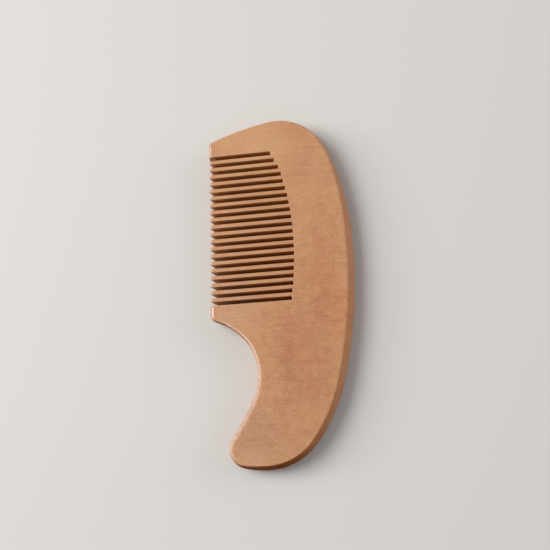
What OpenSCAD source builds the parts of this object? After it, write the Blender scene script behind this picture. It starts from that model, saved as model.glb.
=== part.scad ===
// Pocket comb with a hooked handle, sawn from one board of peach wood.
// Millimetres. The comb lies flat on z = 0. +Y runs along it, away from the
// handle, +X points to its rounded back, and the teeth point to -X.
//
// The outline is one closed path of tangent arcs that runs clockwise, seen from
// above: up the line of the tooth tips, over the crown, down the back, round the
// handle and up its hollow inner side. A turn is in degrees, clockwise positive.

/* [Board] */
// Thickness of the board
board_t = 10; // [8:0.5:12]
// How far the side walls bulge beyond the rims of the faces
belly = 0.9; // [0:0.1:1]

/* [Teeth] */
// Number of saw cuts, one more than the teeth between the two guards
gap_count = 21; // [10:1:21]
// Distance from one saw cut to the next
gap_pitch = 2.72; // [2.6:0.01:2.75]
// Width of a saw cut
gap_w = 1.3; // [0.9:0.05:1.5]
// Distance from the upper guard's corner to the first cut
guard_w = 4.8; // [4.4:0.1:5.2]
// Length of the taper at each tooth tip
tip_taper = 1.4; // [0.6:0.1:2]
// How much the taper takes off each side of a tooth
tip_nip = 0.3; // [0.1:0.05:0.4]
// Lean of the line of tips, degrees
tip_lean = 1; // [0:0.1:2]

/* [Roots of the cuts] */
// Deepest cut, from the corner of the upper guard
root_x = 31.2; // [27:0.1:32]
// How far below that corner the deepest cut lies
root_y = 39.4; // [36:0.1:42]
// Radius of the line of roots in the middle and below
root_r = 115; // [100:1:140]
// How far below the corner the tighter upper stretch starts
root_bend_y = 26.4; // [22:0.1:30]
// Radius of the line of roots in its upper stretch
root_bend_r = 60; // [55:1:90]

/* [Outline radii] */
// Corners of both guards
guard_r = 1.5; // [1.5:0.1:2]
// Upper edge
upper_r = 103; // [80:1:120]
// Crown
crown_r = 19.5; // [18:0.1:21]
// Shoulder
shoulder_r = 89; // [80:1:100]
// Middle of the back
back_r = 172; // [155:1:190]
// Lower back
loin_r = 59; // [54:1:64]
// Heel of the handle
heel_r = 22.5; // [21:0.5:24]
// Flat end of the handle
butt_r = 40; // [35:1:45]
// Tip of the hook
hook_r = 7; // [6.5:0.1:7.5]
// Inner side of the hook
throat_r = 127; // [110:1:145]
// Lower half of the hollow for the finger
bay_low_r = 20; // [19:0.5:21]
// Upper half of the hollow for the finger
bay_top_r = 24.5; // [23:0.5:26]

/* [Outline turns] */
// Corner of the upper guard
guard_turn = 67.4; // [66:0.1:69]
// Upper edge
upper_turn = 13; // [12:0.1:14]
// Crown
crown_turn = 74.8; // [74:0.1:76]
// Shoulder
shoulder_turn = 20.4; // [19.5:0.1:21.5]
// Middle of the back
back_turn = 18.3; // [17.5:0.1:19]
// Lower back
loin_turn = 24.3; // [23.5:0.1:25]
// Heel of the handle
heel_turn = 50; // [49:0.1:51]
// Flat end of the handle
butt_turn = 12.4; // [11.5:0.1:13.5]
// Tip of the hook
hook_turn = 114.2; // [113:0.1:115]
// Inner side of the hook, which hollows
throat_turn = 6.4; // [5.5:0.1:7.5]
// Lower half of the hollow
bay_low_turn = 59.1; // [58:0.1:60]
// Upper half of the hollow
bay_top_turn = 37.4; // [36.5:0.1:38.5]

/* [Hidden] */

// The path, from the top of the line of tips. An arc has a radius and a turn.
RADIUS = 0;
TURN = 1;
curves = [
    [guard_r, guard_turn],
    [upper_r, upper_turn],
    [crown_r, crown_turn],
    [shoulder_r, shoulder_turn],
    [back_r, back_turn],
    [loin_r, loin_turn],
    [heel_r, heel_turn],
    [butt_r, butt_turn],
    [hook_r, hook_turn],
    [throat_r, -throat_turn],
    [bay_low_r, -bay_low_turn],
    [bay_top_r, -bay_top_turn],
];
straight = [0, 0];
tip_heading = 90 - tip_lean;
turned = [for (c = curves) c[TURN]] * [for (c = curves) 1];
last_corner = [guard_r, 360 - turned];

function along(h) = [cos(h), sin(h)];
function right_of(h) = [sin(h), -cos(h)];
function centre(p, h, c) = p + sign(c[TURN]) * c[RADIUS] * right_of(h);

// Point of arc c after turning by t, set in by d from the wall
function on_arc(p, h, c, t, d = 0) =
    c == straight
    ? p + d * right_of(h)
    : centre(p, h, c) - (sign(c[TURN]) * c[RADIUS] - d) * right_of(h - t);

// Start point and heading of every arc, and of what follows the last one
function starts(list, p, h, i = 0) =
    i == len(list)
    ? [[p, h]]
    : concat([[p, h]],
        starts(list, on_arc(p, h, list[i], list[i][TURN]), h - list[i][TURN], i + 1));

// Where the line through p along a meets the line through q along b
function meet(p, a, q, b) = p + a * cross(q - p, b) / cross(a, b);

// A straight neck and the straight line of tips close the path
start = starts(curves, [0, 0], tip_heading);
neck_p = start[len(curves)][0];
neck_h = start[len(curves)][1];
corner_step = on_arc([0, 0], neck_h, last_corner, last_corner[TURN]);
corner_p = meet(neck_p, along(neck_h), -corner_step, along(tip_heading));

path = concat(
    [for (i = [0 : len(curves) - 1]) [start[i][0], start[i][1], curves[i]]],
    [[neck_p, neck_h, straight],
     [corner_p, neck_h, last_corner],
     [corner_p + corner_step, tip_heading, straight]]);

// Steps along an arc that stay within this distance of it
chord_off = 0.04;
function steps(c) =
    c == straight ? 1 : ceil(abs(c[TURN]) / (2 * acos(1 - chord_off / c[RADIUS])));

function tip_x(y) = y * tan(tip_lean);

// Root of the cut at height y: two arcs that run into each other
function root(y) =
    let (down = y + root_y,
         bend = root_y - root_bend_y,
         up = max(0, down - bend))
    root_x - pow(min(down, bend), 2) / (2 * root_r)
    - up * bend / root_r - up * up / (2 * root_bend_r);

// All points of the path, set in by d
function outline(d) = [
    for (a = path)
        let (n = steps(a[2]))
        for (k = [0 : n - 1]) on_arc(a[0], a[1], a[2], a[2][TURN] * k / n, d)];

// The middle of the outline's box goes to the origin
widest = outline(0);
xs = [for (p = widest) p[0]];
ys = [for (p = widest) p[1]];
middle = [max(xs) + min(xs), max(ys) + min(ys)] / 2;

// Heights of the rings of the side wall, in half thicknesses from the middle of
// the board. The outermost two lie past the faces, so that the faces stay plain.
levels = [1.2, 0.8, 0.4, 0, -0.4, -0.8, -1.2];

// The outline lofted down through one ring at each level
module round_block() {
    n = len(widest);
    last = len(levels) - 1;
    points = [
        for (u = levels) for (p = outline(belly * u * u))
            [p[0], p[1], board_t / 2 * (1 + u)]];
    walls = [
        for (j = [0 : last - 1]) for (i = [0 : n - 1])
            let (next = (i + 1) % n)
            [j * n + i, (j + 1) * n + i, (j + 1) * n + next, j * n + next]];
    upper_end = [for (i = [0 : n - 1]) i];
    lower_end = [for (i = [n - 1 : -1 : 0]) last * n + i];
    polyhedron(points, concat([upper_end], walls, [lower_end]));
}

// The saw cuts start this far outside the tips
past_tips = 1.2;

// The cut at height y, which flares between the tooth tips
function one_cut(y) =
    let (tip = tip_x(y),
         half = gap_w / 2,
         mouth = half + tip_nip * (tip_taper + past_tips) / tip_taper)
    [[tip - past_tips, y - mouth], [tip + tip_taper, y - half], [root(y), y - half],
     [root(y), y + half], [tip + tip_taper, y + half], [tip - past_tips, y + mouth]];

// One sheet with all the cuts, from the lowest up, that reaches this far past
// the board elsewhere
around = 8;
toothed_sheet = concat(
    [for (k = [gap_count - 1 : -1 : 0])
        for (p = one_cut(-guard_w - k * gap_pitch)) p],
    [[-around, max(ys) + around], [max(xs) + around, max(ys) + around],
     [max(xs) + around, min(ys) - around], [-around, min(ys) - around]]);

module comb() {
    color("burlywood")
        translate([-middle[0], -middle[1], 0])
            intersection() {
                round_block();
                linear_extrude(board_t)
                    polygon(toothed_sheet);
            }
}

comb();
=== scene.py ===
# Wooden comb with a hooked handle, lying on a plain pale floor
import math
import random
import bpy
import bmesh
from mathutils import Matrix, Vector


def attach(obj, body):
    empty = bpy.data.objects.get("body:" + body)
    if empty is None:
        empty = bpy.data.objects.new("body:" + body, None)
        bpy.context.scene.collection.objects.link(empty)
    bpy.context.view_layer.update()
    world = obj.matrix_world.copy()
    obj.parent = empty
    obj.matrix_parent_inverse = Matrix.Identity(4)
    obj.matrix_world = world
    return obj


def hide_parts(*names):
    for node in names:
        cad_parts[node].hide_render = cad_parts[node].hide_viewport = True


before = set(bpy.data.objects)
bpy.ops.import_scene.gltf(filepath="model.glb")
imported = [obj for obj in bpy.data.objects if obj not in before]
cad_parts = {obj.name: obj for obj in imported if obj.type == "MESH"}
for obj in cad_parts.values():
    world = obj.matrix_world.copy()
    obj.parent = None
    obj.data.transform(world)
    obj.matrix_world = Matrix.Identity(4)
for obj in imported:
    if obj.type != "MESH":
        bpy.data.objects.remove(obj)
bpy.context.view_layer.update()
print("frame loaded")

mm = 0.001
scene = bpy.context.scene


# Camera and light

view = {
    "target": (-1.667 * mm, 5.423 * mm, 10 * mm),  # seen at the middle of the frame
    "distance": 396 * mm,
    "leanRight": 11.0,  # degrees off straight above, towards +X
    "leanNear": 11.0,  # and towards -Y
    "roll": -2.7,
    "lens": 72.0,
    "sensor": 36.0,
    "nearest": 0.01,  # metres, the nearest and the farthest that it sees
    "farthest": 10.0,
}


def makeCamera():
    data = bpy.data.cameras.new("camera")
    data.lens = view["lens"]
    data.sensor_width = view["sensor"]
    data.clip_start = view["nearest"]
    data.clip_end = view["farthest"]
    camera = bpy.data.objects.new("camera", data)
    scene.collection.objects.link(camera)
    back = Vector((math.tan(math.radians(view["leanRight"])),
                   -math.tan(math.radians(view["leanNear"])), 1.0)).normalized()
    right = Vector((0, 1, 0)).cross(back).normalized()
    turn = Matrix((right, back.cross(right), back)).transposed()
    turn = turn @ Matrix.Rotation(math.radians(view["roll"]), 3, "Z")
    camera.matrix_world = Matrix.Translation(
        Vector(view["target"]) + back * view["distance"]) @ turn.to_4x4()
    scene.camera = camera


lamps = {
    # place in metres, size in metres, watts, colour
    "window": ((-0.66, 0.22, 1.0), 0.80, 12.0, (1.0, 0.985, 0.96)),
    "strip": ((-1.1, 0.20, 0.55), 0.50, 5.0, (1.0, 0.985, 0.96)),
    "fill": ((1.1, 0.25, 0.45), 0.9, 4.5, (0.97, 0.98, 1.0)),
}
sky = {
    "colour": (0.93, 0.96, 1.0),
    "strength": 0.40,
}


def makeLights():
    # Every lamp looks at the middle of the comb
    for name, (place, size, power, colour) in lamps.items():
        data = bpy.data.lights.new(name, "AREA")
        data.shape = "DISK"
        data.size = size
        data.energy = power
        data.color = colour
        lamp = bpy.data.objects.new(name, data)
        scene.collection.objects.link(lamp)
        lamp.location = place
        lamp.rotation_mode = "QUATERNION"
        lamp.rotation_quaternion = (-Vector(place)).to_track_quat("-Z", "Y")
    world = bpy.data.worlds.new("studio")
    world.use_nodes = True
    glow = world.node_tree.nodes["Background"]
    glow.inputs["Color"].default_value = (*sky["colour"], 1)
    glow.inputs["Strength"].default_value = sky["strength"]
    scene.world = world
    scene.view_settings.view_transform = "Standard"


makeCamera()
makeLights()
print("camera and lights made")


# Shader maths

class Wire:
    # One output socket; + - * add Math nodes
    def __init__(self, tree, socket):
        self.tree = tree
        self.socket = socket

    def math(self, how, other, swap=False):
        pair = (other, self) if swap else (self, other)
        return self.tree.add("ShaderNodeMath", {"operation": how}, {0: pair[0], 1: pair[1]})

    def __add__(self, other):
        return self.math("ADD", other)

    def __radd__(self, other):
        return self.math("ADD", other, True)

    def __sub__(self, other):
        return self.math("SUBTRACT", other)

    def __rsub__(self, other):
        return self.math("SUBTRACT", other, True)

    def __mul__(self, other):
        return self.math("MULTIPLY", other)

    def __rmul__(self, other):
        return self.math("MULTIPLY", other, True)

    def between(self, start, end):
        # 0 at the start and 1 at the end, smooth between; the start may be the larger
        return self.tree.add(
            "ShaderNodeMapRange", {"interpolation_type": "SMOOTHSTEP", "clamp": True},
            {"Value": self, "From Min": start, "From Max": end})


class Tree:
    # The node tree of one material
    def __init__(self, name):
        self.material = bpy.data.materials.new(name)
        self.material.use_nodes = True
        self.nodes = self.material.node_tree.nodes
        self.links = self.material.node_tree.links
        self.shader = self.nodes["Principled BSDF"]

    def plug(self, socket, value):
        if isinstance(value, Wire):
            self.links.new(value.socket, socket)
        elif socket.type == "RGBA":
            socket.default_value = (*value, 1)
        else:
            socket.default_value = value

    def add(self, kind, settings=None, sockets=None, out=0):
        node = self.nodes.new(kind)
        for key, value in (settings or {}).items():
            setattr(node, key, value)
        for key, value in (sockets or {}).items():
            self.plug(node.inputs[key], value)
        return Wire(self, node.outputs[out])

    def mix(self, how, factor, first, second):
        # Colours only: inputs 6 and 7 and output 2 are the node's colour sockets
        return self.add("ShaderNodeMix", {"data_type": "RGBA", "blend_type": how},
                        {0: factor, 6: first, 7: second}, out=2)

    def place(self, scale, shift=(0, 0, 0)):
        # Object coordinates, scaled and then shifted to the pattern
        where = self.add("ShaderNodeTexCoord", out="Object")
        return self.add("ShaderNodeMapping", None,
                        {"Vector": where, "Scale": scale, "Location": shift})

    def noise(self, scale, detail, rough=0.5):
        # scale is in patches to the metre along X, Y and Z
        return self.add("ShaderNodeTexNoise", None,
                        {"Vector": self.place(scale), "Scale": 1, "Detail": detail,
                         "Roughness": rough})

    def bump(self, strength, height, pattern):
        return self.add("ShaderNodeBump", None,
                        {"Strength": strength, "Distance": height, "Height": pattern})

    def finish(self, **sockets):
        for key, value in sockets.items():
            self.plug(self.shader.inputs[key.replace("_", " ")], value)
        return self.material


# Floor

floor = {
    "size": 3.0,  # metres
    "colour": (0.56, 0.54, 0.515),
    "roughness": 0.75,
    "cloud": ((9, 9, 9), 4),
    "cloudShare": 0.05,
    "cloudShades": ((0.8, 0.8, 0.8), (1, 1, 1)),
    "speck": ((900, 900, 900), 2),
    "speckBump": 0.08,
    "speckHeight": 0.2 * mm,
}


def floorFinish():
    t = Tree("floor")
    cloud = t.noise(*floor["cloud"])
    speck = t.noise(*floor["speck"])
    shade = t.mix("MIX", cloud, *floor["cloudShades"])
    colour = t.mix("MULTIPLY", floor["cloudShare"], floor["colour"], shade)
    bump = t.bump(floor["speckBump"], floor["speckHeight"], speck)
    return t.finish(Base_Color=colour, Roughness=floor["roughness"], Normal=bump)


def makeFloor():
    bm = bmesh.new()
    bmesh.ops.create_grid(bm, x_segments=1, y_segments=1, size=floor["size"] / 2)
    mesh = bpy.data.meshes.new("floor")
    bm.to_mesh(mesh)
    bm.free()
    ground = bpy.data.objects.new("floor", mesh)
    scene.collection.objects.link(ground)
    mesh.materials.append(floorFinish())


makeFloor()
print("floor made")


# Comb

comb = {
    "thickness": 10 * mm,
    "start": (-25.411, 55.885),  # mm, top of the line of tips
    "tipLean": 1.0,  # degrees by which that line leans to the right
    "cornerRadius": 1.5,  # mm, where the neck meets the line of tips
    "chord": 0.004,  # mm that a step may leave its arc
    "mitre": 0.5,  # a corner's offset is lengthened to 1 / mitre at most
    "wallSteps": (0.3, 0.55, 0.75, 0.88, 0.94, 1.0),  # shares of the wall's height
    "rimSteps": 6,
    "rollSteps": (0.12, 0.3, 0.5, 0.75, 1.0),  # shares of the rolled-off strip
    "band": 0.06,  # mm of flat face kept beside the rim
    "bulgePower": 1.5,  # how late the guards' ends bulge on the way up
    "bevelFall": 0.45,  # height of the guards' bevels as a share of their width
    "glossPower": 8,  # how close to the rim a wall starts to shine
    "sideFade": 0.15,  # how much less a stained wall is stained at its rim
    "sidePower": 2.2,  # how much less the painted shade darkens a wall at its rim
    "darkBehind": 3.0,  # mm from the line of tips to where a gap's painted shade and warmer tint are full
    "merge": 0.001,  # mm within which the two halves join
}

# The outline, clockwise from the top of the line of tips, in mm and degrees. Apart
# from radius and turn, a row says what the wall has become at the end of its arc:
# edge is the radius that breaks the rim, and belly how far the wall bulges below it;
# roll is how far in the face starts to slope, and slope how steeply it meets the rim;
# gloss is how much the rim shines, and setIn how far the wall stands inside the arc;
# guard is the share of the guards' end shape.
outline = (
    # radius, turn, edge, belly, roll, slope, gloss, setIn, guard
    (1.5, 67.4, 0.35, 0.20, 0.25, 5.0, 0.40, 0.0, 1.0),
    (103.0, 2.0, 0.35, 0.20, 0.35, 5.0, 0.30, 0.0, 0.0),
    (103.0, 11.0, 0.40, 0.25, 0.80, 6.5, 0.30, 0.0, 0.0),
    (19.5, 74.8, 0.75, 0.35, 0.60, 6.5, 0.20, 0.0, 0.0),
    (89.0, 20.4, 0.35, 1.60, 0.30, 5.0, 0.10, 0.0, 0.0),
    (172.0, 18.3, 0.30, 1.33, 0.20, 4.0, 0.10, 0.0, 0.0),
    (59.0, 24.3, 0.30, 0.95, 0.30, 5.0, 0.10, 0.0, 0.0),
    (22.5, 50.0, 0.30, 1.25, 0.30, 5.0, 0.10, 0.0, 0.0),
    (40.0, 12.4, 0.30, 1.00, 0.60, 6.5, 0.40, 0.0, 0.0),
    (7.0, 114.2, 0.36, 0.50, 2.20, 6.5, 0.40, 0.24, 0.0),
    (127.0, -6.4, 0.36, 0.50, 2.20, 6.5, 0.30, 0.24, 0.0),
    (20.0, -59.1, 0.36, 0.60, 1.25, 6.5, 0.55, 0.43, 0.0),
    (24.5, -26.0, 0.38, 0.35, 0.90, 6.0, 0.60, 0.10, 0.0),
    (24.5, -11.4, 0.38, 0.18, 0.45, 5.5, 0.60, 0.0, 0.5),
)
upperArcs = 2  # arcs over which the upper guard's end shape fades
neckRim = (0.38, 0.18, 0.40, 5.5, 0.60, 0.0)  # edge to setIn along the neck
sawnRim = (0.13, 0.0, 0.0, 0.0, 0.50, 0.0)  # the same round the teeth

# How far the end of each guard leans back at its top, bulges and is bevelled, in mm
guardEnds = {"low": (0.0, 0.55, 0.85), "up": (0.0, 1.20, 0.40)}
upright = (0.0, 0.0, 0.0, 0.0)

teeth = {
    # mm and degrees
    "gaps": 21,
    "guard": 4.8,  # from the outline's start to the first gap
    "pitch": 2.72,
    "gap": 1.42,
    "rootFillet": 0.16,
    "noseRadius": 0.36,
    "noseTurn": 70.0,
    "cheek": 0.40,  # straight part of the taper
    "cheekRadius": 1.6,
    "tipBack": 0.75,  # how far the top of a tip leans back
    "tipDrop": 1.9,  # and over what height
    "tipShares": (1.0, 0.95, 0.6, 0.35, 0.0),  # of that lean, from the nose to the neck
    "neck": 1.2,  # how far behind the taper the lean has faded out
    "guardNeck": 2.6,  # the same behind the corner of a guard
    "lowBack": 0.15,  # how far the lowest tip stands back from the guards
    "topBack": 0.80,  # and the top one
    "deeper": {2: 0.33, 3: 0.33},  # gaps, from 0 at the top, that run further in
    "seed": 12,
    # by how much a gap's place, half width and depth and the next tip are off at most
    "placeSpread": 0.015,
    "halfSpread": 0.01,
    "depthSpread": 0.06,
    "tipSpread": 0.06,
}
roots = {
    # mm from the outline's start
    "x": 31.2,  # depth of the deepest gap
    "y": 39.4,  # and how far down it lies
    "radius": 115.0,
    "bendAt": 26.4,  # how far down the tighter upper stretch starts
    "bendRadius": 60.0,
}


def rootAt(y):
    # y in mm above the outline's start, so negative
    down = y + roots["y"]
    bend = roots["y"] - roots["bendAt"]
    up = max(0.0, down - bend)
    return (roots["x"] - min(down, bend) ** 2 / (2 * roots["radius"])
            - up * bend / roots["radius"] - up * up / (2 * roots["bendRadius"]))


class Pen:
    # Draws the outline with spin and extrude; heading in degrees, 0 along +X
    def __init__(self, bm, start, heading, mark):
        self.bm = bm
        self.tip = bm.verts.new((start[0] * mm, start[1] * mm, 0))
        self.heading = heading
        self.marks = [mark]  # rim and end of every vertex

    def aim(self, aside=0):
        # The way ahead, or that many degrees to its left
        a = math.radians(self.heading + aside)
        return Vector((math.cos(a), math.sin(a), 0))

    def note(self, count, rim, end):
        # The new vertices ease from the last mark to this one
        before = self.marks[-1]
        for k in range(1, count + 1):
            t = k / count
            t = t * t * (3 - 2 * t)
            self.marks.append(tuple(a + (b - a) * t for a, b in zip(before, (*rim, *end))))

    def arc(self, radius, turn, rim, end=upright):
        sign = math.copysign(1, turn)
        centre = self.tip.co + self.aim(-90) * radius * sign * mm
        step = 2 * math.degrees(math.acos(1 - comb["chord"] / radius))
        count = max(2, math.ceil(abs(turn) / step))
        self.bm.verts.ensure_lookup_table()
        bmesh.ops.spin(self.bm, geom=[self.tip], cent=centre, axis=(0, 0, -1),
                       angle=math.radians(turn), steps=count)
        self.bm.verts.ensure_lookup_table()
        self.tip = self.bm.verts[-1]
        self.heading -= turn
        self.note(count, rim, end)

    def go(self, length, rim, end=upright):
        made = bmesh.ops.extrude_vert_indiv(self.bm, verts=[self.tip])["verts"][0]
        bmesh.ops.translate(self.bm, verts=[made], vec=self.aim() * length * mm)
        self.tip = made
        self.note(1, rim, end)


def guardEnd(name, heading=0.0, share=1.0):
    # The end stands back along the heading: that of the guard's outer edge, or 0 in a gap
    return (*(share * v for v in guardEnds[name]), math.tan(math.radians(heading)))


def drawOutline(bm):
    upward = 90 - comb["tipLean"]
    upperEdge = upward - outline[0][1]
    pen = Pen(bm, comb["start"], upward, (*sawnRim, *guardEnd("up", upperEdge)))
    cornerTurn = 360 - sum(row[1] for row in outline)
    neckHeading = upward + cornerTurn
    for k, (radius, turn, *rim, share) in enumerate(outline):
        guard = ("up", upperEdge) if k < upperArcs else ("low", neckHeading)
        pen.arc(radius, turn, rim, guardEnd(*guard, share))
    # The neck is as long as the line of tips asks for
    line = math.radians(upward)
    inward = Vector((math.sin(line), -math.cos(line), 0))
    cornerIn = comb["cornerRadius"] * (1 - math.cos(math.radians(cornerTurn)))
    start = Vector((*comb["start"], 0))
    here = pen.tip.co / mm - start
    low = guardEnd("low", neckHeading)
    pen.go((cornerIn - here.dot(inward)) / pen.aim().dot(inward), neckRim, low)
    pen.arc(comb["cornerRadius"], cornerTurn, sawnRim, low)
    drawTeeth(pen, start)
    bm.verts.ensure_lookup_table()
    bm.edges.new((pen.tip, bm.verts[0]))
    return pen.marks


class Mouth:
    # One side of a gap's mouth, from the line of tips to behind the taper, and its
    # size across and along the gap
    def __init__(self, guard=None):
        nose, cheek, cheekRadius = teeth["noseRadius"], teeth["cheek"], teeth["cheekRadius"]
        turn = 90.0 if guard else teeth["noseTurn"]
        neck = teeth["guardNeck" if guard else "neck"]
        self.steps = [(nose, turn)]
        a = math.radians(90 - turn)
        self.across = nose * math.cos(a)
        self.along = nose * (1 - math.sin(a)) + neck
        if guard:
            self.ends = [guardEnd(guard), guardEnd(guard), upright]
        else:
            self.ends = [(teeth["tipBack"] * share, *upright[1:]) for share in teeth["tipShares"]]
            self.steps += [(cheek,), (cheekRadius, 90 - turn)]
            self.across += cheek * math.sin(a) + cheekRadius * (1 - math.cos(a))
            self.along += cheek * math.cos(a) + cheekRadius * math.sin(a)
        self.steps.append((neck,))

    def draw(self, pen, outward=False):
        # Into the gap, or out of it; an arc has a radius and a turn, a line a length
        ends = self.ends[1:]
        steps = self.steps
        if outward:
            ends = self.ends[-2::-1]
            steps = steps[::-1]
        for step, end in zip(steps, ends):
            move = pen.go if len(step) == 1 else pen.arc
            move(*step, sawnRim, end)


def drawTeeth(pen, start):
    # Gap by gap from the lower guard to the upper one, each a little off
    dice = random.Random(teeth["seed"])
    slope = math.tan(math.radians(comb["tipLean"]))
    fillet = teeth["rootFillet"]
    lowest = teeth["gaps"] - 1

    def spread(name):
        return dice.uniform(-teeth[name], teeth[name])

    for k in range(lowest, -1, -1):
        y = start.y - teeth["guard"] - teeth["pitch"] * k + spread("placeSpread")
        half = teeth["gap"] / 2 + spread("halfSpread")
        reach = start.x + rootAt(y - start.y) + spread("depthSpread")
        reach += teeth["deeper"].get(k, 0.0)
        lower = Mouth("low" if k == lowest else None)
        upper = Mouth("up" if k == 0 else None)
        climb = y - half - lower.across - pen.tip.co.y / mm
        if k == lowest:
            # The guard leans like the line of tips, the teeth's tips stand straight
            pen.go(climb / math.cos(math.radians(comb["tipLean"])), sawnRim, lower.ends[0])
            pen.heading = 90
        else:
            pen.go(climb, sawnRim, lower.ends[0])
        lower.draw(pen)
        pen.go(reach - fillet - pen.tip.co.x / mm, sawnRim)
        pen.arc(fillet, -90, sawnRim)
        pen.go(2 * (half - fillet), sawnRim)
        pen.arc(fillet, -90, sawnRim)
        tipAt = start.x + (y + half + upper.across - start.y) * slope
        if k > 0:
            low, high = teeth["lowBack"], teeth["topBack"]
            tipAt += high + (low - high) * k / lowest + spread("tipSpread")
        pen.go(pen.tip.co.x / mm - (tipAt + upper.along), sawnRim)
        upper.draw(pen, True)


def inwardNormals(ring):
    # Points into the wood, and is long enough to keep the walls' offset true
    normals = []
    for k, vert in enumerate(ring):
        a = (vert.co - ring[k - 1].co).normalized()
        b = (ring[(k + 1) % len(ring)].co - vert.co).normalized()
        both = (a + b).normalized()
        normals.append(Vector((both.y, -both.x, 0)) / max(comb["mitre"], both.dot(b)))
    return normals


# What every vertex is, from 0 to 1: a wall; one that faces the handle's end, away from the lamps,
# and gets painted shade;
# the wall of a gap, whose tint is partly painted bounce light; painted shade deep in a gap; a
# glossy rim
shareNames = ("wall", "side", "sawn", "deepShade", "gloss")


class Section:
    # The wall, rim and rolled-off face over one vertex of the outline, in metres
    def __init__(self, mark, inward, spot):
        edge, belly, roll, slope, gloss, setIn, lean, bulge, bevel, skew = mark
        self.belly = belly * mm
        self.roll = roll * mm
        self.setIn = setIn * mm
        self.lean = lean * mm
        self.bulge = bulge * mm
        self.bevel = bevel * mm
        self.skew = skew
        self.gloss = gloss
        self.sawn = roll == 0
        self.half = comb["thickness"] / 2
        self.inward = inward
        # How much the wall faces the handle's end, away from the lamps, which sets its painted
        # shade, and how far in a gap it is
        self.sideGrain = max(0.0, inward.y / inward.length) ** comb["sidePower"]
        self.inside = min(1.0, max(0.0, (spot.x / mm - comb["start"][0]) / comb["darkBehind"]))
        self.drop = math.tan(math.radians(slope)) * self.roll / 2
        self.top = self.half - self.drop - edge * mm
        # The rim starts with the slope that the wall ends with
        self.first = math.atan2(2 * self.belly, self.top)
        self.last = math.pi / 2 - math.radians(slope)
        self.radius = edge * mm / (math.sin(self.last) - math.sin(self.first))

    def at(self, kind, u):
        # Inset and height on the wall, rim, roll or face, for u from 0 to 1, and how
        # much of a wall and of a rim it is there
        if kind == "wall":
            inset = self.setIn + self.belly * u * u
            return inset, self.top * u, 1.0, u ** comb["glossPower"]
        a = self.first + (self.last - self.first) * (u if kind == "rim" else 1.0)
        inset = self.setIn + self.belly + self.radius * (math.cos(self.first) - math.cos(a))
        if kind == "rim":
            height = self.top + self.radius * (math.sin(a) - math.sin(self.first))
            return inset, height, math.cos(a) ** 2, 1.0
        inset += self.roll * u
        if kind == "roll":
            return inset, self.half - self.drop * (1 - u) ** 2, 0.0, (1 - u) ** 2
        return inset + comb["band"] * mm, self.half, 0.0, 0.0

    def setBack(self, height):
        # How far the ends of guards and teeth stand back at this height
        low = self.half - height
        drop = max(0.0, 1 - low / (teeth["tipDrop"] * mm))
        back = self.lean * (1 - math.sqrt(max(0.0, 1 - drop * drop)))
        back += self.bulge * (height / self.half) ** comb["bulgePower"]
        if self.bevel:
            back += self.bevel * max(0.0, 1 - low / (comb["bevelFall"] * self.bevel))
        return back

    def place(self, kind, u):
        inset, height, wall, rim = self.at(kind, u)
        up = height / self.half
        shares = dict.fromkeys(shareNames, 0.0)
        shares["gloss"] = rim * self.gloss
        if self.sawn:
            # A gap's sawn wall, warmer further in: partly its own colour, partly painted bounce
            # light
            shares["sawn"] = wall * self.inside
            # Painted shade in a gap, darker towards mid-height and further in
            shares["deepShade"] = wall * (1 - up) * self.inside
        else:
            shares["wall"] = wall
            # Painted shade on walls that face the handle's end, lighter towards the rim
            shares["side"] = wall * self.sideGrain * (1 - comb["sideFade"] * up)
        back = self.setBack(height)
        return self.inward * inset + Vector((back, back * self.skew, height)), shares


def extrudeLine(bm, line, closed):
    # Extrudes the line once and returns its new vertices in the same order
    ends = line[1:] + line[:1] if closed else line[1:]
    edges = [bm.edges.get(pair) for pair in zip(line, ends)]
    made = bmesh.ops.extrude_edge_only(bm, edges=edges)["geom"]
    fresh = {g for g in made if isinstance(g, bmesh.types.BMVert)}
    above = {edge.other_vert(vert): vert for vert in fresh for edge in vert.link_edges
             if edge.other_vert(vert) not in fresh}
    return [above[v] for v in line]


def raiseWall(bm, marks):
    # From the middle of the wall up to the face, one extruded ring at a time
    layers = {name: bm.verts.layers.float.new(name) for name in shareNames}
    bm.verts.ensure_lookup_table()
    ring = list(bm.verts)
    base = [v.co.copy() for v in ring]
    sections = [Section(*about) for about in zip(marks, inwardNormals(ring), base)]

    def settle(picks, kind, u):
        for k in picks:
            offset, shares = sections[k].place(kind, u)
            ring[k].co = base[k] + offset
            for name, layer in layers.items():
                ring[k][layer] = shares[name]

    everywhere = range(len(ring))
    settle(everywhere, "wall", 0)
    rimSteps = [k / comb["rimSteps"] for k in range(1, comb["rimSteps"] + 1)]
    for kind, steps in (("wall", comb["wallSteps"]), ("rim", rimSteps)):
        for u in steps:
            ring[:] = extrudeLine(bm, ring, True)
            settle(everywhere, kind, u)
    # Only the outline rolls off, from guard to guard; the ends of its line stay
    rolled = [k for k in everywhere if not sections[k].sawn]
    line = [rolled[0] - 1, *rolled, rolled[-1] + 1]
    for u in comb["rollSteps"]:
        before = [ring[k] for k in line]
        after = extrudeLine(bm, before, False)
        bmesh.ops.weld_verts(bm, targetmap={after[0]: before[0], after[-1]: before[-1]})
        for k, vert in zip(line[1:-1], after[1:-1]):
            ring[k] = vert
        settle(rolled, "roll", u)
    ring[:] = extrudeLine(bm, ring, True)
    settle(everywhere, "face", 1)
    return ring


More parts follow.
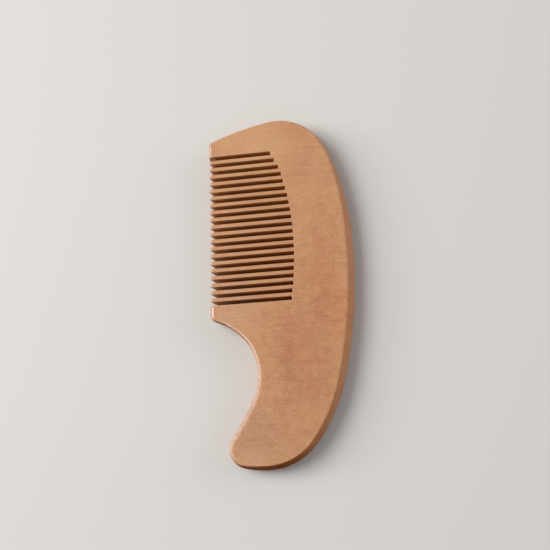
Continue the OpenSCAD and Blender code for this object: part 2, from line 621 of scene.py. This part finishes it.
def makeComb():
    bm = bmesh.new()
    marks = drawOutline(bm)
    print("outline drawn,", len(marks), "points")
    ring = raiseWall(bm, marks)
    topEdges = [bm.edges.get(pair) for pair in zip(ring, ring[1:] + ring[:1])]
    bmesh.ops.contextual_create(bm, geom=topEdges)
    bmesh.ops.mirror(bm, geom=bm.verts[:] + bm.edges[:] + bm.faces[:], axis="Z",
                     matrix=Matrix.Identity(4), merge_dist=comb["merge"] * mm)
    bmesh.ops.translate(bm, verts=bm.verts, vec=(0, 0, comb["thickness"] / 2))
    bmesh.ops.recalc_face_normals(bm, faces=bm.faces)
    for face in bm.faces:
        face.smooth = True
    mesh = bpy.data.meshes.new("comb_board")
    bm.to_mesh(mesh)
    openEdges = sum(1 for e in bm.edges if not e.is_manifold)
    print("comb:", len(bm.verts), "vertices,", openEdges, "open edges")
    bm.free()
    board = bpy.data.objects.new("comb_board", mesh)
    scene.collection.objects.link(board)
    mesh.materials.append(woodFinish())
    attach(board, "root")
    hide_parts("comb")


wood = {
    "light": (0.460, 0.243, 0.124),
    "rose": (0.432, 0.209, 0.109),
    "roseShare": 0.6,
    # noises: scale, detail, roughness; the grain runs along X
    "fibre": ((420, 2300, 2300), 3, 0.6),
    "streak": ((70, 900, 900), 3, 0.6),
    "mottle": ((420, 560, 560), 4, 0.65),
    "cloud": ((120, 150, 150), 3, 0.6),
    "sand": ((2400, 3100, 3100), 2, 0.6),
    "cloudRange": (0.35, 0.65),  # values of the noise that come out as 0 and as 1
    "grainRange": (0.30, 0.70),
    "sandRange": (0.28, 0.72),
    # by what the colour is multiplied where the noise is low and where it is high
    "mottleTints": ((0.96, 0.95, 0.94), (1.035, 1.04, 1.045)),
    "streakTints": ((1.03, 1.04, 1.05), (0.97, 0.955, 0.94)),
    "fibreTints": ((1.03, 1.04, 1.06), (0.97, 0.955, 0.93)),
    "sandTints": ((0.83, 0.77, 0.69), (1.15, 1.21, 1.29)),
    "sanded": 0.6,  # how much less the walls have of the last
    # by what it is multiplied where the vertices' shares are 1
    "wall": (1.06, 0.96, 0.96),
    # painted shade on walls that face the handle's end, away from the lamps
    "side": (0.54, 0.32, 0.02),
    # the gaps' sawn walls; the warmer tint is partly painted bounce light, growing in from the
    # mouth
    "sawn": (1.12, 1.00, 0.68),
    # painted shade deep in the gaps, darkest at mid-height
    "deepShade": (0.80, 0.55, 0.25),
    "deepRange": (0.32, 1.0),
    "stainRange": (1.15, 0.1),  # where a stain starts and is full, as shares of its reach
    "stainRagged": 1.1,  # how far the mottle shifts that
    "roughness": 0.36,
    "fibreRoughness": 0.10,  # added by the fibres
    "wallRoughness": 0.20,  # and on walls
    "bump": 0.20,
    "bumpHeight": 0.06 * mm,
    "specular": 0.03,
    "coatRoughness": 0.14,
    "coatIOR": 1.9,
}
stains = (
    # x, y, reach along X and Y, all in mm; strength; by what the colour is multiplied
    (-8.0, 56.0, 18.0, 14.0, 1.00, (1.11, 1.20, 1.22)),
    (-23.0, 24.0, 14.0, 40.0, 1.00, (1.07, 1.08, 1.12)),
    (-14.0, -60.0, 11.0, 8.0, 1.00, (1.04, 1.15, 1.24)),
    (-20.0, -6.0, 16.0, 12.0, 1.00, (1.02, 1.05, 1.19)),
    (-15.0, -12.0, 6.0, 7.0, 1.00, (1.05, 1.10, 1.10)),
    (-12.0, -49.0, 12.0, 12.0, 0.80, (0.88, 0.90, 1.06)),
    (0.0, -55.0, 12.0, 9.0, 0.80, (0.93, 0.91, 0.96)),
    (8.0, -22.0, 17.0, 32.0, 1.00, (0.91, 0.83, 0.81)),
    (16.0, 6.0, 11.0, 22.0, 0.80, (0.92, 0.83, 0.81)),
    (21.0, -8.0, 7.0, 15.0, 0.60, (1.02, 0.88, 0.82)),
    (1.5, -24.0, 3.6, 11.0, 0.60, (0.90, 0.84, 0.92)),
    (0.0, -38.0, 7.0, 10.0, 0.50, (0.94, 0.93, 1.00)),
    (11.5, 46.0, 7.0, 7.0, 0.40, (0.94, 0.92, 0.97)),
    (17.2, 28.5, 3.2, 3.6, 0.50, (0.92, 0.82, 0.78)),
    (-6.4, -8.8, 1.6, 1.6, 0.60, (0.78, 0.74, 0.74)),
    (13.7, -3.7, 0.8, 0.8, 0.50, (0.76, 0.70, 0.66)),
)


def woodFinish():
    t = Tree("peach wood")
    fibre, streak, mottle, cloud, sand = (
        t.noise(*wood[name]) for name in ("fibre", "streak", "mottle", "cloud", "sand"))
    wall, side, sawn, deepShade, gloss = (
        t.add("ShaderNodeAttribute", {"attribute_name": name}, out="Fac") for name in shareNames)
    rosy = cloud.between(*wood["cloudRange"]) * wood["roseShare"]
    colour = t.mix("MIX", rosy, wood["light"], wood["rose"])
    for x, y, reachX, reachY, strength, tint in stains:
        spot = t.place((1 / (reachX * mm), 1 / (reachY * mm), 0), (-x / reachX, -y / reachY, 0))
        away = t.add("ShaderNodeVectorMath", {"operation": "LENGTH"}, {0: spot}, out="Value")
        ragged = away + (mottle - 0.5) * wood["stainRagged"]
        colour = t.mix("MULTIPLY", ragged.between(*wood["stainRange"]) * strength, colour, tint)
    # The walls are sanded smoother than the faces
    for share, noise, limits, tints in (
            (1.0, mottle, "grainRange", "mottleTints"),
            (1.0, streak, "grainRange", "streakTints"),
            (1.0, fibre, "grainRange", "fibreTints"),
            (1 - wall * wood["sanded"], sand, "sandRange", "sandTints")):
        grain = t.mix("MIX", noise.between(*wood[limits]), *wood[tints])
        colour = t.mix("MULTIPLY", share, colour, grain)
    # The painted shade on walls facing the handle's end goes on twice, so that it deepens faster
    # than it spreads
    for share, name in ((wall, "wall"), (side, "side"), (side, "side"), (sawn, "sawn"),
                        (deepShade.between(*wood["deepRange"]), "deepShade")):
        colour = t.mix("MULTIPLY", share, colour, wood[name])
    rough = (wood["roughness"] + fibre * wood["fibreRoughness"]
             + (wall + sawn) * wood["wallRoughness"])
    return t.finish(Base_Color=colour, Roughness=rough, Coat_Weight=gloss,
                    Normal=t.bump(wood["bump"], wood["bumpHeight"], fibre),
                    Specular_IOR_Level=wood["specular"],
                    Coat_Roughness=wood["coatRoughness"], Coat_IOR=wood["coatIOR"])


makeComb()
print("comb made")
